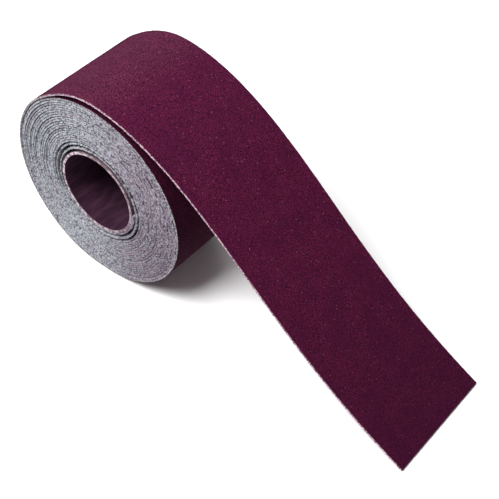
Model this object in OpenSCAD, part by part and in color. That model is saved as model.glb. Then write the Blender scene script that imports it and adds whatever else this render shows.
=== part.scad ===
// Roll of abrasive cloth, wound grain side out on a cardboard core, with its free end laid out.
// Origin at the middle of the core's bore. The roll's axis is Y, +Z is up, and the free end runs
// towards +X. The roll lies on its side, and the tip of the free end rests on the same plane.

/* [Core] */
// Diameter of the bore through the core
core_bore_d = 25.4; // [20:0.2:40]
// Thickness of the paper ply that lines the bore
liner_t = 0.2; // [0.2:0.1:0.5]
// Thickness of the board plies outside the lining
board_t = 0.6; // [0.5:0.1:2]

/* [Strip] */
// Width of the abrasive strip, and length of the core
strip_w = 38; // [20:1:60]
// Thickness of the cloth backing
cloth_t = 0.45; // [0.3:0.05:0.7]
// Thickness of the grain coat on the cloth
grain_t = 0.25; // [0.15:0.05:0.5]

/* [Winding] */
// Number of slack turns next to the core
slack_turns = 2; // [1:1:4]
// Distance from one slack turn to the next
slack_pitch = 1.4; // [1.3:0.05:3]
// Number of whole turns in the tight pack
pack_turns = 19; // [8:1:40]
// Height of the outermost turn over the top of the pack
top_lift = 1.7; // [1:0.1:3]
// Angle round from the bottom at which the outermost turn starts to lift
lift_from = 140; // [90:5:150]
// Depth by which the roll's own weight presses its underside flat
rest_flat = 0.15; // [0.1:0.05:0.25]

/* [Free end] */
// Downward slope a quarter of the way along the free end, in degrees
slope_quarter = 31; // [25:0.2:36]
// Downward slope halfway along
slope_half = 38.8; // [34:0.2:44]
// Downward slope at the tip
slope_tip = 24; // [15:0.2:35]
// Gap between one flexing panel and the next, which the hinge line bridges
hinge_gap = 0.45; // [0.4:0.05:1]

/* [Hidden] */
tail_panels = 7;

$fn = 180;
strip_t = cloth_t + grain_t;

// Air between neighbouring tight turns, and round the first and the last turn
turn_air = 0.025;
core_air = 0.05;
lay_air = 0.05;
pitch = strip_t + turn_air;

core_r = core_bore_d / 2;
board_r = core_r + liner_t;
core_outer_r = board_r + board_t;

// The strip is one spiral. It starts on the +X side of the core, winds clockwise as seen from -Y,
// is slack for the first turns, and goes on as the pack at the radius that the slack turns reach.
// Whole turns and a quarter later the pack ends at the bottom, where the outermost turn begins.
slack_r = core_outer_r + core_air;
pack_r = slack_r + slack_turns * slack_pitch;
pack_outer_r = pack_r + (pack_turns + 1 / 4) * pitch;

// One turn of a spiral is drawn as two half circles. The radius grows by a quarter of the pitch
// to the first and by three quarters to the second, and their centres lie a quarter pitch to
// either side of the axis, so that the two meet.
near_half_r = pack_outer_r + pitch / 4;
centre_up = pitch / 4;

lay_r = near_half_r + lay_air + strip_t / 2;
floor_z = centre_up - lay_r - strip_t / 2 + rest_flat;
top_z = centre_up + lay_r + top_lift;

// Slope of the free end at u, from 0 at the top of the roll to 1 at the tip: the cubic through
// the three slopes above that starts level
function slope(u) =
    slope_quarter * u * (u - 1 / 2) * (u - 1) * 64 / 3
    - slope_half * u * (u - 1 / 4) * (u - 1) * 16
    + slope_tip * u * (u - 1 / 4) * (u - 1 / 2) * 8 / 3;

// The free end is as long as it has to be to bring the lower corner of its tip to the floor
panel_steps = 8;
steps = tail_panels * panel_steps;
function total(list, i = 0) = i == len(list) ? 0 : list[i] + total(list, i + 1);
mean_fall = total([for (i = [0 : steps - 1]) sin(slope((i + 0.5) / steps))]) / steps;
tail_len = (top_z - floor_z - cos(slope_tip) * strip_t / 2) / mean_fall;
step_len = tail_len / steps;

// Points of the free end's middle line, one step apart, from the top of the roll to the tip
tail_line = [
    for (i = 0, x = 0, z = top_z;
         i <= steps;
         x = x + step_len * cos(slope((i + 0.5) / steps)),
         z = z - step_len * sin(slope((i + 0.5) / steps)),
         i = i + 1)
    [x, z]
];

// Unit vectors along the free end and square to it, at step i
function along(i) = [cos(slope(i / steps)), -sin(slope(i / steps))];
function square_to(i) = [sin(slope(i / steps)), cos(slope(i / steps))];

// Smooth rise from 0 to 1
function ease(t) = let (c = min(max(t, 0), 1)) c * c * (3 - 2 * c);

// Point of the outermost turn at an angle round from the bottom by way of -X, raised by out
// from its middle line
flat_to = acos(1 - rest_flat / lay_r);
function turn_r(angle) =
    angle < flat_to ? (lay_r - rest_flat) / cos(angle)
    : lay_r + top_lift * ease((angle - lift_from) / (180 - lift_from));
function turn_point(angle, out) =
    [-sin(angle) * (turn_r(angle) + out), centre_up - cos(angle) * (turn_r(angle) + out)];

// Layers of the strip, as heights from its middle line
cloth_layer = [-strip_t / 2, -strip_t / 2 + cloth_t];
grain_layer = [-strip_t / 2 + cloth_t, strip_t / 2];

core_colour = "#cdbcae";
liner_colour = "#4d3440";
cloth_colour = "#a9a2aa";
pack_colour = "#8d8a96";
grain_colour = "#54203c";

// Turns an outline in X and Z into a solid as wide as the strip, centred on Y
module across() {
    rotate([90, 0, 0]) linear_extrude(strip_w, center = true) children();
}

module ring(inner_r, outer_r) {
    rotate([90, 0, 0]) difference() {
        cylinder(h = strip_w, r = outer_r, center = true);
        cylinder(h = strip_w + 2, r = inner_r, center = true);
    }
}

// The round outline inside one turn of a spiral that starts at the bottom with radius start_r
module spiral_disc(start_r, turn_pitch, width) {
    for (side = [-1, 1]) {
        half_r = start_r + (side < 0 ? turn_pitch / 4 : 3 * turn_pitch / 4);
        size = 4 * half_r;
        intersection() {
            translate([0, 0, -side * turn_pitch / 4])
            rotate([90, 0, 0]) cylinder(h = width, r = half_r, center = true);
            translate([side * size / 2, 0, 0]) cube(size, center = true);
        }
    }
}

module core_liner() {
    color(liner_colour) ring(core_r, board_r);
}

module core_tube() {
    color(core_colour) ring(board_r, core_outer_r);
}

// A slack spiral of half turns, from the +X side of the core to the inside of the pack
module inner_turns() {
    color(cloth_colour) rotate([0, -90, 0])
    for (half = [0 : 2 * slack_turns - 1]) {
        side = half % 2 == 0 ? -1 : 1;
        inner_r = slack_r + slack_pitch / 4 + half * slack_pitch / 2;
        translate([0, 0, -side * slack_pitch / 4])
        rotate([90, side * 90, 0])
        rotate_extrude(angle = 180)
        translate([inner_r, -strip_w / 2])
        square([strip_t, strip_w]);
    }
}

// Everything below the level where the pack is pressed flat: on the floor at +X, where the pack's
// last turn lies open, and on the start of the outermost turn at -X
module below_flat() {
    for (side = [-1, 1]) {
        level = floor_z + (side < 0 ? strip_t + lay_air : 0);
        size = 4 * pack_outer_r + strip_w;
        translate([side * size / 2, 0, level - size / 2]) cube(size, center = true);
    }
}

module wound_pack() {
    color(pack_colour) difference() {
        spiral_disc(pack_outer_r, pitch, strip_w);
        rotate([0, -90, 0]) spiral_disc(pack_r, pitch, strip_w + 2);
        below_flat();
    }
}

// One layer of the outermost turn, from just past the step in the pack to the first hinge line
module outer_turn(layer) {
    start = asin(lay_air / lay_r);
    finish = 180 - asin(hinge_gap / 2 / (lay_r + top_lift));
    arcs = 60;
    angles = concat(
        [start, flat_to / 2],
        [for (i = [0 : arcs]) flat_to + (finish - flat_to) * i / arcs]
    );
    across() polygon(concat(
        [for (angle = angles) turn_point(angle, layer[0])],
        [for (i = [len(angles) - 1 : -1 : 0]) turn_point(angles[i], layer[1])]
    ));
}

// One layer of one panel of the free end, held back by half a hinge gap from each hinge line
module tail_panel(number, layer) {
    first = (number - 1) * panel_steps;
    last = number * panel_steps;
    far_inset = number < tail_panels ? -hinge_gap / 2 : 0;
    function inset(i) = i == first ? hinge_gap / 2 : (i == last ? far_inset : 0);
    function edge(i, out) = tail_line[i] + along(i) * inset(i) + square_to(i) * out;
    across() polygon(concat(
        [for (i = [first : last]) edge(i, layer[0])],
        [for (i = [last : -1 : first]) edge(i, layer[1])]
    ));
}

module outer_turn_cloth() {
    color(cloth_colour) outer_turn(cloth_layer);
}

module outer_turn_grain() {
    color(grain_colour) outer_turn(grain_layer);
}

core_liner();
core_tube();
inner_turns();
wound_pack();
outer_turn_cloth();
outer_turn_grain();
for (n = [1 : tail_panels]) {
    color(cloth_colour) tail_panel(n, cloth_layer);
    color(grain_colour) tail_panel(n, grain_layer);
}
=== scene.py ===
"""Looks of a roll of abrasive cloth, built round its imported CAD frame.

The strip is one line in X and Z, from the core to the tip of the free end, and every stretch of it
is lofted along that line as two layers, cloth backing and grain coat. Sizes are in millimetres
until a mesh is made, and repeat those of the CAD.
"""

import math

import bpy
import numpy as np
from mathutils import Matrix, Vector


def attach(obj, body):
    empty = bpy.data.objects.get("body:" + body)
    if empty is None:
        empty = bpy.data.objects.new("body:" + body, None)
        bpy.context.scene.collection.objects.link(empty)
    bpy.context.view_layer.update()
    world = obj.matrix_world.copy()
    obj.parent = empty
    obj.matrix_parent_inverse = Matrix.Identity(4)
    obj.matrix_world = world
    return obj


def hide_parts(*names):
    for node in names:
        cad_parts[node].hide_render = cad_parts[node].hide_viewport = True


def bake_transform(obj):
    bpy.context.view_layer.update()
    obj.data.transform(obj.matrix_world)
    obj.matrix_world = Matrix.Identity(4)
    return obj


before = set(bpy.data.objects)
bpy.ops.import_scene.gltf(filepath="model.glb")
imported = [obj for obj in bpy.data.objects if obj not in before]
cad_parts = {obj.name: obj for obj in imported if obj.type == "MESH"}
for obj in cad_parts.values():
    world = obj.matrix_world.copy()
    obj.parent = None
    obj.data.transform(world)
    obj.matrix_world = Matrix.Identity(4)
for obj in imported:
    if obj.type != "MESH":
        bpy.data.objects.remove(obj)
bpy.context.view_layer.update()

# ---------------------------------------------------------------- sizes
MM = 0.001
CORE_R = 12.7
LINER_T = 0.2
BOARD_T = 0.6
STRIP_W = 38.0
CLOTH_T = 0.45
GRAIN_T = 0.25
SLACK_TURNS = 2
SLACK_PITCH = 1.4
PACK_TURNS = 19
TOP_LIFT = 1.7
LIFT_FROM = 140.0
REST_FLAT = 0.15
SLOPE_QUARTER, SLOPE_HALF, SLOPE_TIP = 31.0, 38.8, 24.0
TURN_AIR, CORE_AIR, LAY_AIR = 0.025, 0.05, 0.05
PANELS = 7

# Samples of the line on each wound turn and on the whole free end
TURN_STEPS = 720
FREE_STEPS = 896

STRIP_T = CLOTH_T + GRAIN_T
PITCH = STRIP_T + TURN_AIR
BOARD_R = CORE_R + LINER_T
CORE_OUTER_R = BOARD_R + BOARD_T
SLACK_R = CORE_OUTER_R + CORE_AIR
PACK_R = SLACK_R + SLACK_TURNS * SLACK_PITCH
PACK_OUTER_R = PACK_R + (PACK_TURNS + 0.25) * PITCH
CENTRE_UP = PITCH / 4
LAY_R = PACK_OUTER_R + PITCH / 4 + LAY_AIR + STRIP_T / 2
FLOOR_Z = CENTRE_UP - LAY_R - STRIP_T / 2 + REST_FLAT
TOP_Z = CENTRE_UP + LAY_R + TOP_LIFT
HALF_W = STRIP_W / 2

# Heights of the layers' faces from the strip's middle line
BACK = -STRIP_T / 2
BOND = BACK + CLOTH_T
FRONT = STRIP_T / 2


# ---------------------------------------------------------------- seeded noise
def lattice(ix, iy, seed):
    """A value from -1 to 1 for each pair of whole numbers."""
    h = (ix.astype(np.int64) * 374761393 + iy.astype(np.int64) * 668265263 + seed * 974634777) & 0xFFFFFFFF
    h = ((h ^ (h >> 13)) * 1274126177) & 0xFFFFFFFF
    h = ((h ^ (h >> 16)) * 2246822519) & 0xFFFFFFFF
    return (h ^ (h >> 15)) / 0xFFFFFFFF * 2.0 - 1.0


def noise(x, y, seed):
    """Smooth noise from -1 to 1 with features one unit across."""
    x, y = np.broadcast_arrays(np.asarray(x, float), np.asarray(y, float))
    ix, iy = np.floor(x), np.floor(y)
    fx, fy = x - ix, y - iy
    fx, fy = fx * fx * (3 - 2 * fx), fy * fy * (3 - 2 * fy)
    low = lattice(ix, iy, seed) * (1 - fx) + lattice(ix + 1, iy, seed) * fx
    high = lattice(ix, iy + 1, seed) * (1 - fx) + lattice(ix + 1, iy + 1, seed) * fx
    return low * (1 - fy) + high * fy


# ---------------------------------------------------------------- the strip's line
def half_turns(turns):
    """How many pitches a spiral has grown by, when each turn is two half circles."""
    half = np.floor(2 * turns)
    return half / 2 + (1 - np.cos(np.pi * (2 * turns - half))) / 4


def ease(t):
    t = np.clip(t, 0, 1)
    return t * t * (3 - 2 * t)


def slope(u):
    return (
        SLOPE_QUARTER * u * (u - 0.5) * (u - 1) * 64 / 3
        - SLOPE_HALF * u * (u - 0.25) * (u - 1) * 16
        + SLOPE_TIP * u * (u - 0.25) * (u - 0.5) * 8 / 3
    )


def wound_line():
    """Middle line of the slack and the tight turns, from the core to the bottom of the roll."""
    turns = np.arange(0, SLACK_TURNS + PACK_TURNS + 0.25, 1 / TURN_STEPS)
    slack = SLACK_R + SLACK_PITCH * half_turns(np.minimum(turns, SLACK_TURNS))
    tight = PITCH * half_turns(np.maximum(turns - SLACK_TURNS, 0))
    radius = slack + tight + STRIP_T / 2
    angle = 2 * np.pi * turns
    x, z = radius * np.cos(angle), -radius * np.sin(angle)
    pressed = turns > SLACK_TURNS
    z = np.where(pressed, np.maximum(z, REST_FLAT - radius), z)
    return np.stack([x, z], 1), np.stack([np.cos(angle), -np.sin(angle)], 1)


def outer_line():
    """Middle line of the outermost turn, from the bottom round by -X to the top."""
    angle = np.radians(np.arange(0.1, 180, 0.2))
    rise = TOP_LIFT * ease((np.degrees(angle) - LIFT_FROM) / (180 - LIFT_FROM))
    radius = LAY_R + rise
    x, z = -radius * np.sin(angle), CENTRE_UP - radius * np.cos(angle)
    z = np.maximum(z, FLOOR_Z + STRIP_T / 2)
    return np.stack([x, z], 1), np.stack([-np.sin(angle), -np.cos(angle)], 1)


def free_line():
    """Middle line of the free end, from the top of the roll to the tip on the floor."""
    middles = np.radians(slope((np.arange(FREE_STEPS) + 0.5) / FREE_STEPS))
    fall = np.mean(np.sin(middles))
    length = (TOP_Z - FLOOR_Z - math.cos(math.radians(SLOPE_TIP)) * STRIP_T / 2) / fall
    step = length / FREE_STEPS
    x = np.concatenate([[0], np.cumsum(step * np.cos(middles))])
    z = TOP_Z - np.concatenate([[0], np.cumsum(step * np.sin(middles))])
    ends = np.radians(slope(np.arange(FREE_STEPS + 1) / FREE_STEPS))
    return np.stack([x, z], 1), np.stack([np.sin(ends), np.cos(ends)], 1), length


free_points, free_out, FREE_LEN = free_line()
sections = [wound_line(), outer_line(), (free_points, free_out)]
line_points = np.concatenate([s[0] for s in sections])
line_out = np.concatenate([s[1] for s in sections])
line_s = np.concatenate([[0], np.cumsum(np.linalg.norm(np.diff(line_points, axis=0), axis=1))])
counts = np.cumsum([len(s[0]) for s in sections])
PACK_END = line_s[counts[0]]
TOP_S = line_s[counts[1]]
TIP_S = line_s[-1]
PANEL_LEN = FREE_LEN / PANELS


def line_at(s):
    """Points and outward unit vectors of the line at lengths s along it."""
    point = np.stack([np.interp(s, line_s, line_points[:, k]) for k in (0, 1)], 1)
    out = np.stack([np.interp(s, line_s, line_out[:, k]) for k in (0, 1)], 1)
    return point, out / np.linalg.norm(out, axis=1, keepdims=True)


def length_at_turns(turns):
    """Length along the line at a number of turns from its start."""
    return float(np.interp(turns, np.arange(counts[0]) / TURN_STEPS, line_s[: counts[0]]))


# ---------------------------------------------------------------- meshes
def make_mesh(name, points, strip, faces, materials, face_materials=None):
    """points in millimetres; strip is each point's place on the flat strip, kept for the materials."""
    mesh = bpy.data.meshes.new(name)
    mesh.from_pydata((np.asarray(points) * MM).tolist(), [], faces)
    for material in materials:
        mesh.materials.append(material)
    if face_materials is not None:
        mesh.polygons.foreach_set("material_index", face_materials)
    attribute = mesh.attributes.new("strip", "FLOAT_VECTOR", "POINT")
    attribute.data.foreach_set("vector", np.asarray(strip, np.float32).ravel())
    mesh.polygons.foreach_set("use_smooth", [False] * len(mesh.polygons))
    mesh.update()
    piece = bpy.data.objects.new(name, mesh)
    bpy.context.scene.collection.objects.link(piece)
    return piece


def loft(s, across, out):
    """Points, strip places and faces of a closed tube. across and out are rows of one closed loop
    at each length s."""
    rows, loop = across.shape
    point, normal = line_at(s)
    x = point[:, :1] + normal[:, :1] * out
    z = point[:, 1:] + normal[:, 1:] * out
    points = np.stack([x, across, z], -1).reshape(-1, 3)
    strip = np.stack([np.broadcast_to(s[:, None], across.shape), across, out], -1).reshape(-1, 3)
    row = np.arange(rows - 1)[:, None] * loop
    here = np.arange(loop)[None, :]
    after = (here + 1) % loop
    faces = np.stack([row + here, row + after, row + loop + after, row + loop + here], -1)
    faces = faces.reshape(-1, 4).tolist()
    faces.append(list(range(loop))[::-1])
    faces.append([(rows - 1) * loop + i for i in range(loop)])
    return points, strip, faces


def edge_fray(s, side, seed):
    """How far the strip's cut edge stands out of its nominal width."""
    fine = noise(s / 0.32, side * 7.3, seed)
    coarse = noise(s / 1.7, side * 3.1, seed + 1)
    bead = np.maximum(noise(s / 0.8, side * 11.7, seed + 2) - 0.72, 0)
    return 0.03 * fine + 0.02 * coarse + 0.6 * bead


def grit(s, y):
    """Height of the grain over its coat."""
    return (
        0.045 * noise(s / 0.27, y / 0.27, 11)
        + 0.03 * noise(s / 0.55, y / 0.55, 12)
        + 0.018 * noise(s / 2.3, y / 2.3, 13)
    )


def weave(s, y):
    """Relief of the twill on the back of the cloth."""
    rib = np.sin((s + y) * 2 * np.pi / 0.9) * 0.03
    pick = np.sin((s - y * 0.4) * 2 * np.pi / 0.55) * 0.012
    return rib + pick + 0.012 * noise(s / 0.3, y / 0.3, 21)


# Size of the mesh's cells on the open strip
FINE = 0.26

# Colours of the grain coat. Three stretches of the strip are tinted: a paler band over the top of the
# roll, which is painted sheen, a darker tip, which is painted shade, and the stretch under the free end
# and round the underside, which is darkened to carry the shade there.
GRAIN_DARK = (0.016, 0.001, 0.007)
GRAIN_LIGHT = (0.110, 0.012, 0.048)
GRAIN_RED = (0.075, 0.005, 0.028)
GRAIN_BLUE = (0.036, 0.003, 0.022)
GRAIN_COVERED = (0.003, 0.001, 0.002)
GRAIN_CREST_SHEEN = (0.150, 0.055, 0.080)
GRAIN_TIP_SHADE = (0.020, 0.002, 0.011)
GRAIN_SPECK = (0.150, 0.048, 0.085)


def rows_between(start, end, step):
    return np.linspace(start, end, max(2, int(round((end - start) / step)) + 1))


def across_between(near, far):
    """Across positions of a layer's face, from near edge to far, stretched to the frayed edges."""
    cells = int(round(STRIP_W / FINE))
    flat = np.linspace(-1, 1, cells + 1)[None, :]
    middle = ((far - near) / 2)[:, None]
    return (far + near)[:, None] / 2 + flat * middle


def grain_layer(name, start, end):
    s = rows_between(start, end, FINE)
    near = -HALF_W + 0.03 + 0.10 * np.maximum(noise(s / 0.45, 2.5, 31), 0)
    far = HALF_W - 0.03 - 0.10 * np.maximum(noise(s / 0.45, 9.5, 32), 0)
    face = across_between(near, far)
    top = FRONT - 0.03 + grit(s[:, None], face)
    top[:, [0, -1]] = (BOND + FRONT) / 2
    across = np.concatenate([face, far[:, None], near[:, None]], 1)
    low = np.full((len(s), 2), BOND)
    points, strip, faces = loft(s, across, np.concatenate([top, low], 1))
    return make_mesh(name, points, strip, faces, [grain_mat])


def cloth_layer(name, start, end):
    s = rows_between(start, end, FINE)
    near = -HALF_W - edge_fray(s, 0, 41)
    far = HALF_W + edge_fray(s, 1, 43)
    face = across_between(near + 0.08, far - 0.08)
    low = BACK + 0.03 + weave(s[:, None], face)
    middle = np.full((len(s), 1), (BACK + BOND) / 2)
    high = np.full((len(s), 1), BOND)
    edges = np.stack([far, far - 0.05, near + 0.05, near], 1)
    across = np.concatenate([face, edges], 1)
    out = np.concatenate([low, middle, high, high, middle], 1)
    points, strip, faces = loft(s, across, out)
    faces = [f[::-1] for f in faces]
    return make_mesh(name, points, strip, faces, [cloth_mat])


# ---------------------------------------------------------------- materials
def new_material(name, roughness, specular=0.3, sheen=0.0, sheen_tint=(1, 1, 1, 1)):
    material = bpy.data.materials.new(name)
    material.use_nodes = True
    shader = material.node_tree.nodes["Principled BSDF"]
    shader.inputs["Roughness"].default_value = roughness
    shader.inputs["Specular IOR Level"].default_value = specular
    shader.inputs["Sheen Weight"].default_value = sheen
    shader.inputs["Sheen Roughness"].default_value = 0.5
    shader.inputs["Sheen Tint"].default_value = sheen_tint
    return material, material.node_tree, shader


def node(tree, kind, inputs=None, **settings):
    made = tree.nodes.new(kind)
    for key, value in settings.items():
        setattr(made, key, value)
    for key, value in (inputs or {}).items():
        if isinstance(value, bpy.types.NodeSocket):
            tree.links.new(value, made.inputs[key])
        else:
            made.inputs[key].default_value = value
    return made


def math_node(tree, operation, a, b=0.0):
    return node(tree, "ShaderNodeMath", {0: a, 1: b}, operation=operation).outputs[0]


def mix_colour(tree, factor, a, b, blend="MIX"):
    made = node(tree, "ShaderNodeMix", data_type="RGBA", blend_type=blend)
    for socket, value in ((made.inputs[0], factor), (made.inputs[6], a), (made.inputs[7], b)):
        if isinstance(value, bpy.types.NodeSocket):
            tree.links.new(value, socket)
        else:
            socket.default_value = value if socket.type == "VALUE" else (*value, 1)
    return made.outputs[2]


def ramp(tree, value, low, high):
    """0 up to low, 1 from high."""
    made = node(tree, "ShaderNodeMapRange", {0: value, 1: low, 2: high}, interpolation_type="SMOOTHSTEP")
    return made.outputs[0]


def strip_place(tree, scale=(1, 1, 1)):
    """The strip attribute in millimetres, scaled on each axis."""
    place = node(tree, "ShaderNodeAttribute", attribute_name="strip")
    scaled = {0: place.outputs["Vector"], 1: scale}
    return node(tree, "ShaderNodeVectorMath", scaled, operation="MULTIPLY").outputs[0]


def noise_node(tree, vector, scale, detail=2.0, roughness=0.5):
    inputs = {"Vector": vector, "Scale": scale, "Detail": detail, "Roughness": roughness}
    return node(tree, "ShaderNodeTexNoise", inputs).outputs["Fac"]


def edge_factor(tree, start, end):
    """0 over the strip's width, 1 at its cut edges."""
    parts = node(tree, "ShaderNodeSeparateXYZ", {0: strip_place(tree)})
    return ramp(tree, math_node(tree, "ABSOLUTE", parts.outputs[1]), start, end)


def cut_edge(tree):
    """Colour of the strip's cut edge: yarn ends, greyer on the roll and pinker along the free end."""
    fray = noise_node(tree, strip_place(tree, (1, 0.3, 1.6)), 1.9, detail=2)
    parts = node(tree, "ShaderNodeSeparateXYZ", {0: strip_place(tree)})
    free = ramp(tree, parts.outputs[0], TOP_S - 30, TOP_S)
    light = mix_colour(tree, free, (0.34, 0.33, 0.35), (0.53, 0.38, 0.44))
    dark = mix_colour(tree, free, (0.08, 0.06, 0.08), (0.15, 0.06, 0.10))
    return mix_colour(tree, ramp(tree, fray, 0.40, 0.62), dark, light)


def grain_material():
    material, tree, shader = new_material("grain_coat", 0.8, specular=0.03)
    place = strip_place(tree)
    fine = noise_node(tree, place, 2.5, detail=4, roughness=0.7)
    mottle = noise_node(tree, place, 0.8, detail=2)
    cloudy = noise_node(tree, place, 0.12, detail=2)
    grains = node(tree, "ShaderNodeTexVoronoi", {"Vector": place, "Scale": 3.2, "Randomness": 1.0})
    along = node(tree, "ShaderNodeSeparateXYZ", {0: place}).outputs[0]
    base = mix_colour(tree, ramp(tree, fine, 0.36, 0.64), GRAIN_DARK, GRAIN_LIGHT)
    redder = math_node(tree, "MULTIPLY", ramp(tree, mottle, 0.4, 0.7), 0.4)
    base = mix_colour(tree, redder, base, GRAIN_RED)
    bluer = math_node(tree, "MULTIPLY", ramp(tree, cloudy, 0.4, 0.65), 0.3)
    base = mix_colour(tree, bluer, base, GRAIN_BLUE)
    speck = node(tree, "ShaderNodeTexVoronoi", {"Vector": place, "Scale": 1.3, "Randomness": 1.0})
    spot = math_node(tree, "SUBTRACT", 1.0, ramp(tree, speck.outputs["Distance"], 0.16, 0.30))
    chance = node(tree, "ShaderNodeSeparateColor", {0: speck.outputs["Color"]}).outputs[0]
    rare = ramp(tree, chance, 0.80, 0.98)
    base = mix_colour(tree, math_node(tree, "MULTIPLY", spot, rare), base, GRAIN_SPECK)
    # Painted sheen: a paler, patchy band over the top of the roll, where the strip leaves it for the free
    # end.
    before_top = ramp(tree, along, TOP_S - 26, TOP_S - 10)
    past_top = ramp(tree, along, TOP_S - 4, TOP_S + 12)
    crest_sheen = math_node(tree, "MULTIPLY", before_top, math_node(tree, "SUBTRACT", 1.0, past_top))
    patchy = math_node(tree, "MULTIPLY", crest_sheen, ramp(tree, fine, 0.40, 0.62))
    base = mix_colour(tree, math_node(tree, "MULTIPLY", patchy, 0.3), base, GRAIN_CREST_SHEEN)
    # Painted shade: the grain coat darkens towards the tip of the free end.
    tip_shade = math_node(tree, "MULTIPLY", ramp(tree, along, TOP_S + 50, TIP_S + 10), 0.55)
    base = mix_colour(tree, tip_shade, base, GRAIN_TIP_SHADE)
    covered = math_node(tree, "SUBTRACT", 1.0, ramp(tree, along, PACK_END - 25, PACK_END + 45))
    base = mix_colour(tree, math_node(tree, "MULTIPLY", covered, 0.6), base, GRAIN_COVERED)
    base = mix_colour(tree, edge_factor(tree, HALF_W - 0.20, HALF_W - 0.06), base, cut_edge(tree))
    tree.links.new(base, shader.inputs["Base Color"])
    coarse = {"Height": grains.outputs["Distance"], "Strength": 0.5, "Distance": 0.0001}
    coarse_bump = node(tree, "ShaderNodeBump", coarse).outputs[0]
    finer = {"Height": fine, "Strength": 0.5, "Distance": 0.0002, "Normal": coarse_bump}
    tree.links.new(node(tree, "ShaderNodeBump", finer).outputs[0], shader.inputs["Normal"])
    rough = node(tree, "ShaderNodeMapRange", {0: fine, 3: 0.65, 4: 0.95})
    tree.links.new(rough.outputs[0], shader.inputs["Roughness"])
    return material


def cloth_material():
    material, tree, shader = new_material("cloth_back", 0.92, specular=0.15, sheen=0.1)
    place = strip_place(tree)
    bands = {"Vector": place, "Scale": 0.35, "Distortion": 0.6, "Detail": 2.0}
    warp = node(tree, "ShaderNodeTexWave", bands, bands_direction="DIAGONAL")
    soil = noise_node(tree, place, 0.25, detail=3)
    fuzz = noise_node(tree, place, 3.0, detail=3)
    base = mix_colour(tree, warp.outputs["Fac"], (0.25, 0.16, 0.20), (0.42, 0.31, 0.35))
    stained = math_node(tree, "MULTIPLY", ramp(tree, soil, 0.4, 0.7), 0.4)
    base = mix_colour(tree, stained, base, (0.30, 0.17, 0.22))
    base = mix_colour(tree, edge_factor(tree, HALF_W - 0.30, HALF_W - 0.10), base, cut_edge(tree))
    tree.links.new(base, shader.inputs["Base Color"])
    bump = node(tree, "ShaderNodeBump", {"Height": fuzz, "Strength": 0.6, "Distance": 0.0002})
    tree.links.new(bump.outputs[0], shader.inputs["Normal"])
    return material


def wound_cloth_material():
    """Cut edges of the wound cloth: yarn ends, pale and dark, with painted shade that makes them darker
    and more purple towards +X.
    """
    material, tree, shader = new_material("wound_cloth", 0.95, specular=0.1, sheen=0.05)
    yarns = noise_node(tree, strip_place(tree, (1.6, 0.15, 1)), 1.25, detail=3, roughness=0.7)
    fuzz = noise_node(tree, strip_place(tree, (1, 0.2, 2)), 3.0, detail=2)
    patches = noise_node(tree, strip_place(tree, (1, 0, 0)), 0.06, detail=1)
    base = mix_colour(tree, ramp(tree, yarns, 0.37, 0.60), (0.046, 0.036, 0.050), (0.365, 0.39, 0.425))
    fuzzy = math_node(tree, "MULTIPLY", ramp(tree, fuzz, 0.4, 0.65), 0.5)
    base = mix_colour(tree, fuzzy, base, (0.29, 0.29, 0.325))
    patchy = math_node(tree, "MULTIPLY", ramp(tree, patches, 0.5, 0.7), 0.3)
    base = mix_colour(tree, patchy, base, (0.33, 0.24, 0.29))
    # Painted shade: the cut edges darken and turn more purple towards +X.
    place_x = node(tree, "ShaderNodeSeparateXYZ", {0: object_place(tree, (1000, 1000, 1000))}).outputs[0]
    shaded_plus_x_side = math_node(tree, "MULTIPLY", ramp(tree, place_x, -8.0, 24.0), 0.85)
    base = mix_colour(tree, shaded_plus_x_side, base, (0.62, 0.47, 0.56), blend="MULTIPLY")
    tree.links.new(base, shader.inputs["Base Color"])
    bump = node(tree, "ShaderNodeBump", {"Height": fuzz, "Strength": 0.8, "Distance": 0.0002})
    tree.links.new(bump.outputs[0], shader.inputs["Normal"])
    return material


def wound_grain_material():
    """Cut edges of the grain coat between the turns: dark, with stray yarn over them."""
    material, tree, shader = new_material("wound_grain", 0.85, specular=0.1)
    chips = noise_node(tree, strip_place(tree, (1, 0.3, 2)), 1.1, detail=2)
    base = mix_colour(tree, ramp(tree, chips, 0.42, 0.62), (0.040, 0.026, 0.040), (0.31, 0.31, 0.34))
    tree.links.new(base, shader.inputs["Base Color"])
    return material


def object_place(tree, scale):
    """Place on the object in metres, scaled on each axis."""
    scaled = {0: node(tree, "ShaderNodeTexCoord").outputs["Object"], 1: scale}
    return node(tree, "ShaderNodeVectorMath", scaled, operation="MULTIPLY").outputs[0]


def paper_material(name, dark, light, edge_dark, edge_light):
    """Core plies: fibrous paper on the round faces, and paler torn fibre on the cut ends, with painted
    shade darkening them at +X.
    """
    material, tree, shader = new_material(name, 0.85, specular=0.03)
    fibres = noise_node(tree, object_place(tree, (1000, 250, 1000)), 0.6, detail=3)
    base = mix_colour(tree, ramp(tree, fibres, 0.35, 0.65), dark, light)
    ends = noise_node(tree, object_place(tree, (1000, 200, 1000)), 1.2, detail=2)
    cut = mix_colour(tree, ramp(tree, ends, 0.4, 0.6), edge_dark, edge_light)
    place = node(tree, "ShaderNodeSeparateXYZ", {0: object_place(tree, (1000, 1000, 1000))})
    # Painted shade: the cut ends darken towards +X.
    shaded_plus_x_side = math_node(tree, "MULTIPLY", ramp(tree, place.outputs[0], -8.0, 12.0), 0.55)
    cut = mix_colour(tree, shaded_plus_x_side, cut, edge_dark)
    at_end = ramp(tree, math_node(tree, "ABSOLUTE", place.outputs[1]), HALF_W - 0.2, HALF_W - 0.05)
    base = mix_colour(tree, at_end, base, cut)
    tree.links.new(base, shader.inputs["Base Color"])
    bump = node(tree, "ShaderNodeBump", {"Height": fibres, "Strength": 0.35, "Distance": 0.0002})
    tree.links.new(bump.outputs[0], shader.inputs["Normal"])
    return material


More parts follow.
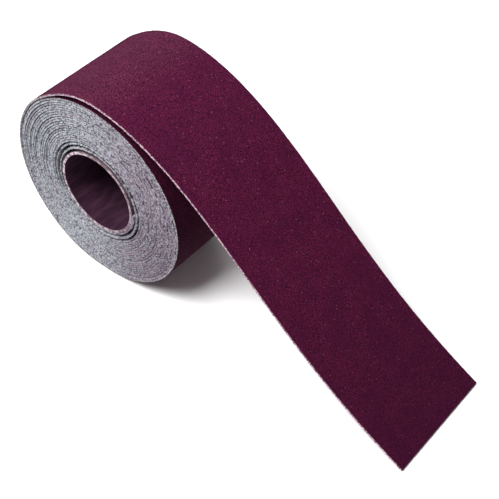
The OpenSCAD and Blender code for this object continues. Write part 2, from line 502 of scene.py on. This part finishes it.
grain_mat = grain_material()
cloth_mat = cloth_material()
wound_cloth_mat = wound_cloth_material()
wound_grain_mat = wound_grain_material()
liner_mat = paper_material(
    "core_paper", (0.026, 0.010, 0.020), (0.046, 0.018, 0.034), (0.14, 0.10, 0.12), (0.46, 0.39, 0.42)
)
board_mat = paper_material(
    "core_board_ply", (0.070, 0.050, 0.056), (0.115, 0.085, 0.090), (0.14, 0.09, 0.12), (0.52, 0.43, 0.46)
)


# ---------------------------------------------------------------- the wound turns
def telescoping(turn, s):
    """Axial place of each turn: neighbours don't line up exactly, which leaves rings."""
    return 0.10 * noise(turn * 1.0, s / 60, 51) + 0.05 * noise(turn * 2.3, s / 9, 52)


def open_gap(turn, s):
    """0 where a turn lies close to the next, up to 1 where they stand apart and leave a dark line."""
    round_from_left = (turn - 0.56 + 0.5) % 1 - 0.5
    slack_side = 0.25 + 0.75 * np.exp(-((round_from_left / 0.17) ** 2))
    return slack_side * np.clip(3.0 * noise(turn * 0.9, s / 26, 71) + 0.9 * slack_side - 0.6, 0, 1)


def wound_strip(name, first_turn, last_turn, step):
    """Turns of the strip at full thickness: cloth with proud yarn ends, and the grain behind them."""
    s = rows_between(length_at_turns(first_turn), length_at_turns(last_turn), step)
    turn = np.interp(s, line_s[: counts[0]], np.arange(counts[0]) / TURN_STEPS)
    shift = telescoping(turn, s)
    gap = open_gap(turn, s)
    rows_y, rows_out = [], []
    for side in (-1, 1):
        fuzz = 0.12 * noise(s / 0.5, 1.5 + side, 61) + 0.06 * noise(s / 0.25, side, 62)
        yarn = side * HALF_W + shift + side * fuzz
        bulge = 0.07 * noise(s / 0.6, side * 5, 63)
        grain = yarn - side * (0.06 + 0.05 * noise(s / 0.5, side * 9, 64) + 0.75 * gap)
        lip = yarn - side * (0.02 + 0.35 * gap)
        ys = [
            grain - side * 0.08,
            grain,
            lip,
            yarn + side * 0.05,
            yarn - side * 0.01,
            yarn - side * 0.15,
        ]
        outs = [
            FRONT + 0 * s,
            FRONT - 0.04 + 0 * s,
            BOND + 0.06 + bulge * 0.5,
            (BACK + BOND) / 2 + bulge,
            BACK + 0.05 + bulge * 0.3,
            BACK + 0 * s,
        ]
        rows_y.append(ys)
        rows_out.append(outs)
    y = np.stack(rows_y[0] + rows_y[1][::-1], 1)
    out = np.stack(rows_out[0] + rows_out[1][::-1], 1)
    points, strip, faces = loft(s, y, out)
    faces = [f[::-1] for f in faces]
    loop = y.shape[1]
    cloth_cells = np.isin(np.arange(loop), range(2, loop - 3))
    face_materials = np.tile(np.where(cloth_cells, 0, 1), len(s) - 1).tolist() + [0, 0]
    return make_mesh(name, points, strip, faces, [wound_cloth_mat, wound_grain_mat], face_materials)


slack = wound_strip("slack_turns_strip", 0.0, SLACK_TURNS + 0.0, 0.25)
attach(slack, "roll")
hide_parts("inner_turns")

# The turn at which the outside of the pack starts to be shown as open strip
LAST_OPEN = SLACK_TURNS + PACK_TURNS + 0.25 - 0.62
pack = wound_strip("wound_turns_strip", SLACK_TURNS, LAST_OPEN, 0.34)
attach(pack, "roll")
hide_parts("wound_pack")


# ---------------------------------------------------------------- the open strip
def panel_middle(number):
    """Length along the line at the middle of a panel, where 0 is the end of the roll's own part."""
    return TOP_S + (number - 0.5) * PANEL_LEN


def open_strip(label, start, end, body, next_body, replaced):
    cloth = cloth_layer(f"{label}_cloth_back", start, end)
    grain = grain_layer(f"{label}_grain_coat", start, end)
    for piece, slot, layer in ((cloth, "cloth_backing", "cloth"), (grain, "abrasive_grain", "grain")):
        if next_body:
            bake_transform(piece)
        else:
            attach(piece, body)
        if replaced:
            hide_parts(f"{replaced}_{layer}")
    return cloth, grain


last_turn = length_at_turns(LAST_OPEN)
open_strip("open_turn", last_turn, PACK_END, "roll", None, None)
open_strip("outer_strip", PACK_END, panel_middle(0), "roll", None, "outer_turn")
for number in range(1, PANELS + 1):
    start = panel_middle(number - 1)
    end = panel_middle(number) if number < PANELS else TIP_S
    body = "roll" if number == 1 else f"panel_{number - 1}"
    cloth, grain = open_strip(
        f"free_end_{number}", start, end, body, f"panel_{number}", f"tail_{number}"
    )

# ---------------------------------------------------------------- the core
for name, material in (("core_liner", liner_mat), ("core_tube", board_mat)):
    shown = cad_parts[name]
    shown.data.materials.clear()
    shown.data.materials.append(material)

# ---------------------------------------------------------------- floor, lights, camera
floor_mesh = bpy.data.meshes.new("floor")
FLOOR_HALF = 3.0
corners = [(-1, -1), (1, -1), (1, 1), (-1, 1)]
level = FLOOR_Z * MM - 0.00005
floor_mesh.from_pydata([(x * FLOOR_HALF, y * FLOOR_HALF, level) for x, y in corners], [], [(0, 1, 2, 3)])
floor = bpy.data.objects.new("floor", floor_mesh)
bpy.context.scene.collection.objects.link(floor)
floor_mat, floor_tree, floor_shader = new_material("pale_floor", 0.9, specular=0.1)
floor_shader.inputs["Base Color"].default_value = (0.93, 0.93, 0.93, 1)
floor_mesh.materials.append(floor_mat)


def area_light(name, place, size, power):
    data = bpy.data.lights.new(name, "AREA")
    data.size = size
    data.energy = power
    light = bpy.data.objects.new(name, data)
    light.location = place
    aim = Vector((0.03, 0, 0)) - Vector(place)
    light.rotation_euler = aim.to_track_quat("-Z", "Y").to_euler()
    bpy.context.scene.collection.objects.link(light)


area_light("key", (-0.12, -0.42, 0.78), 0.45, 14.0)
area_light("back", (-0.35, 0.75, 0.55), 0.6, 3.0)
world = bpy.data.worlds.new("studio")
world.use_nodes = True
world.node_tree.nodes["Background"].inputs["Color"].default_value = (1, 1, 1, 1)
world.node_tree.nodes["Background"].inputs["Strength"].default_value = 0.18
bpy.context.scene.world = world
bpy.context.scene.view_settings.view_transform = "Standard"

ROLL_R = 31.03 * MM
camera_data = bpy.data.cameras.new("camera")
camera_data.sensor_width = 36.0
camera_data.lens = 82.92
camera_data.clip_start = 0.01
camera = bpy.data.objects.new("camera", camera_data)
forward = Vector((-0.39467, 0.54367, -0.74072)).normalized()
right = Vector((0.77497, 0.63005, 0.04952)).normalized()
up = right.cross(forward)
facing = Matrix((right, up, -forward)).transposed().to_4x4()
camera.matrix_world = Matrix.Translation(Vector((5.4855, -5.7303, 7.5078)) * ROLL_R) @ facing
bpy.context.scene.collection.objects.link(camera)
bpy.context.scene.camera = camera
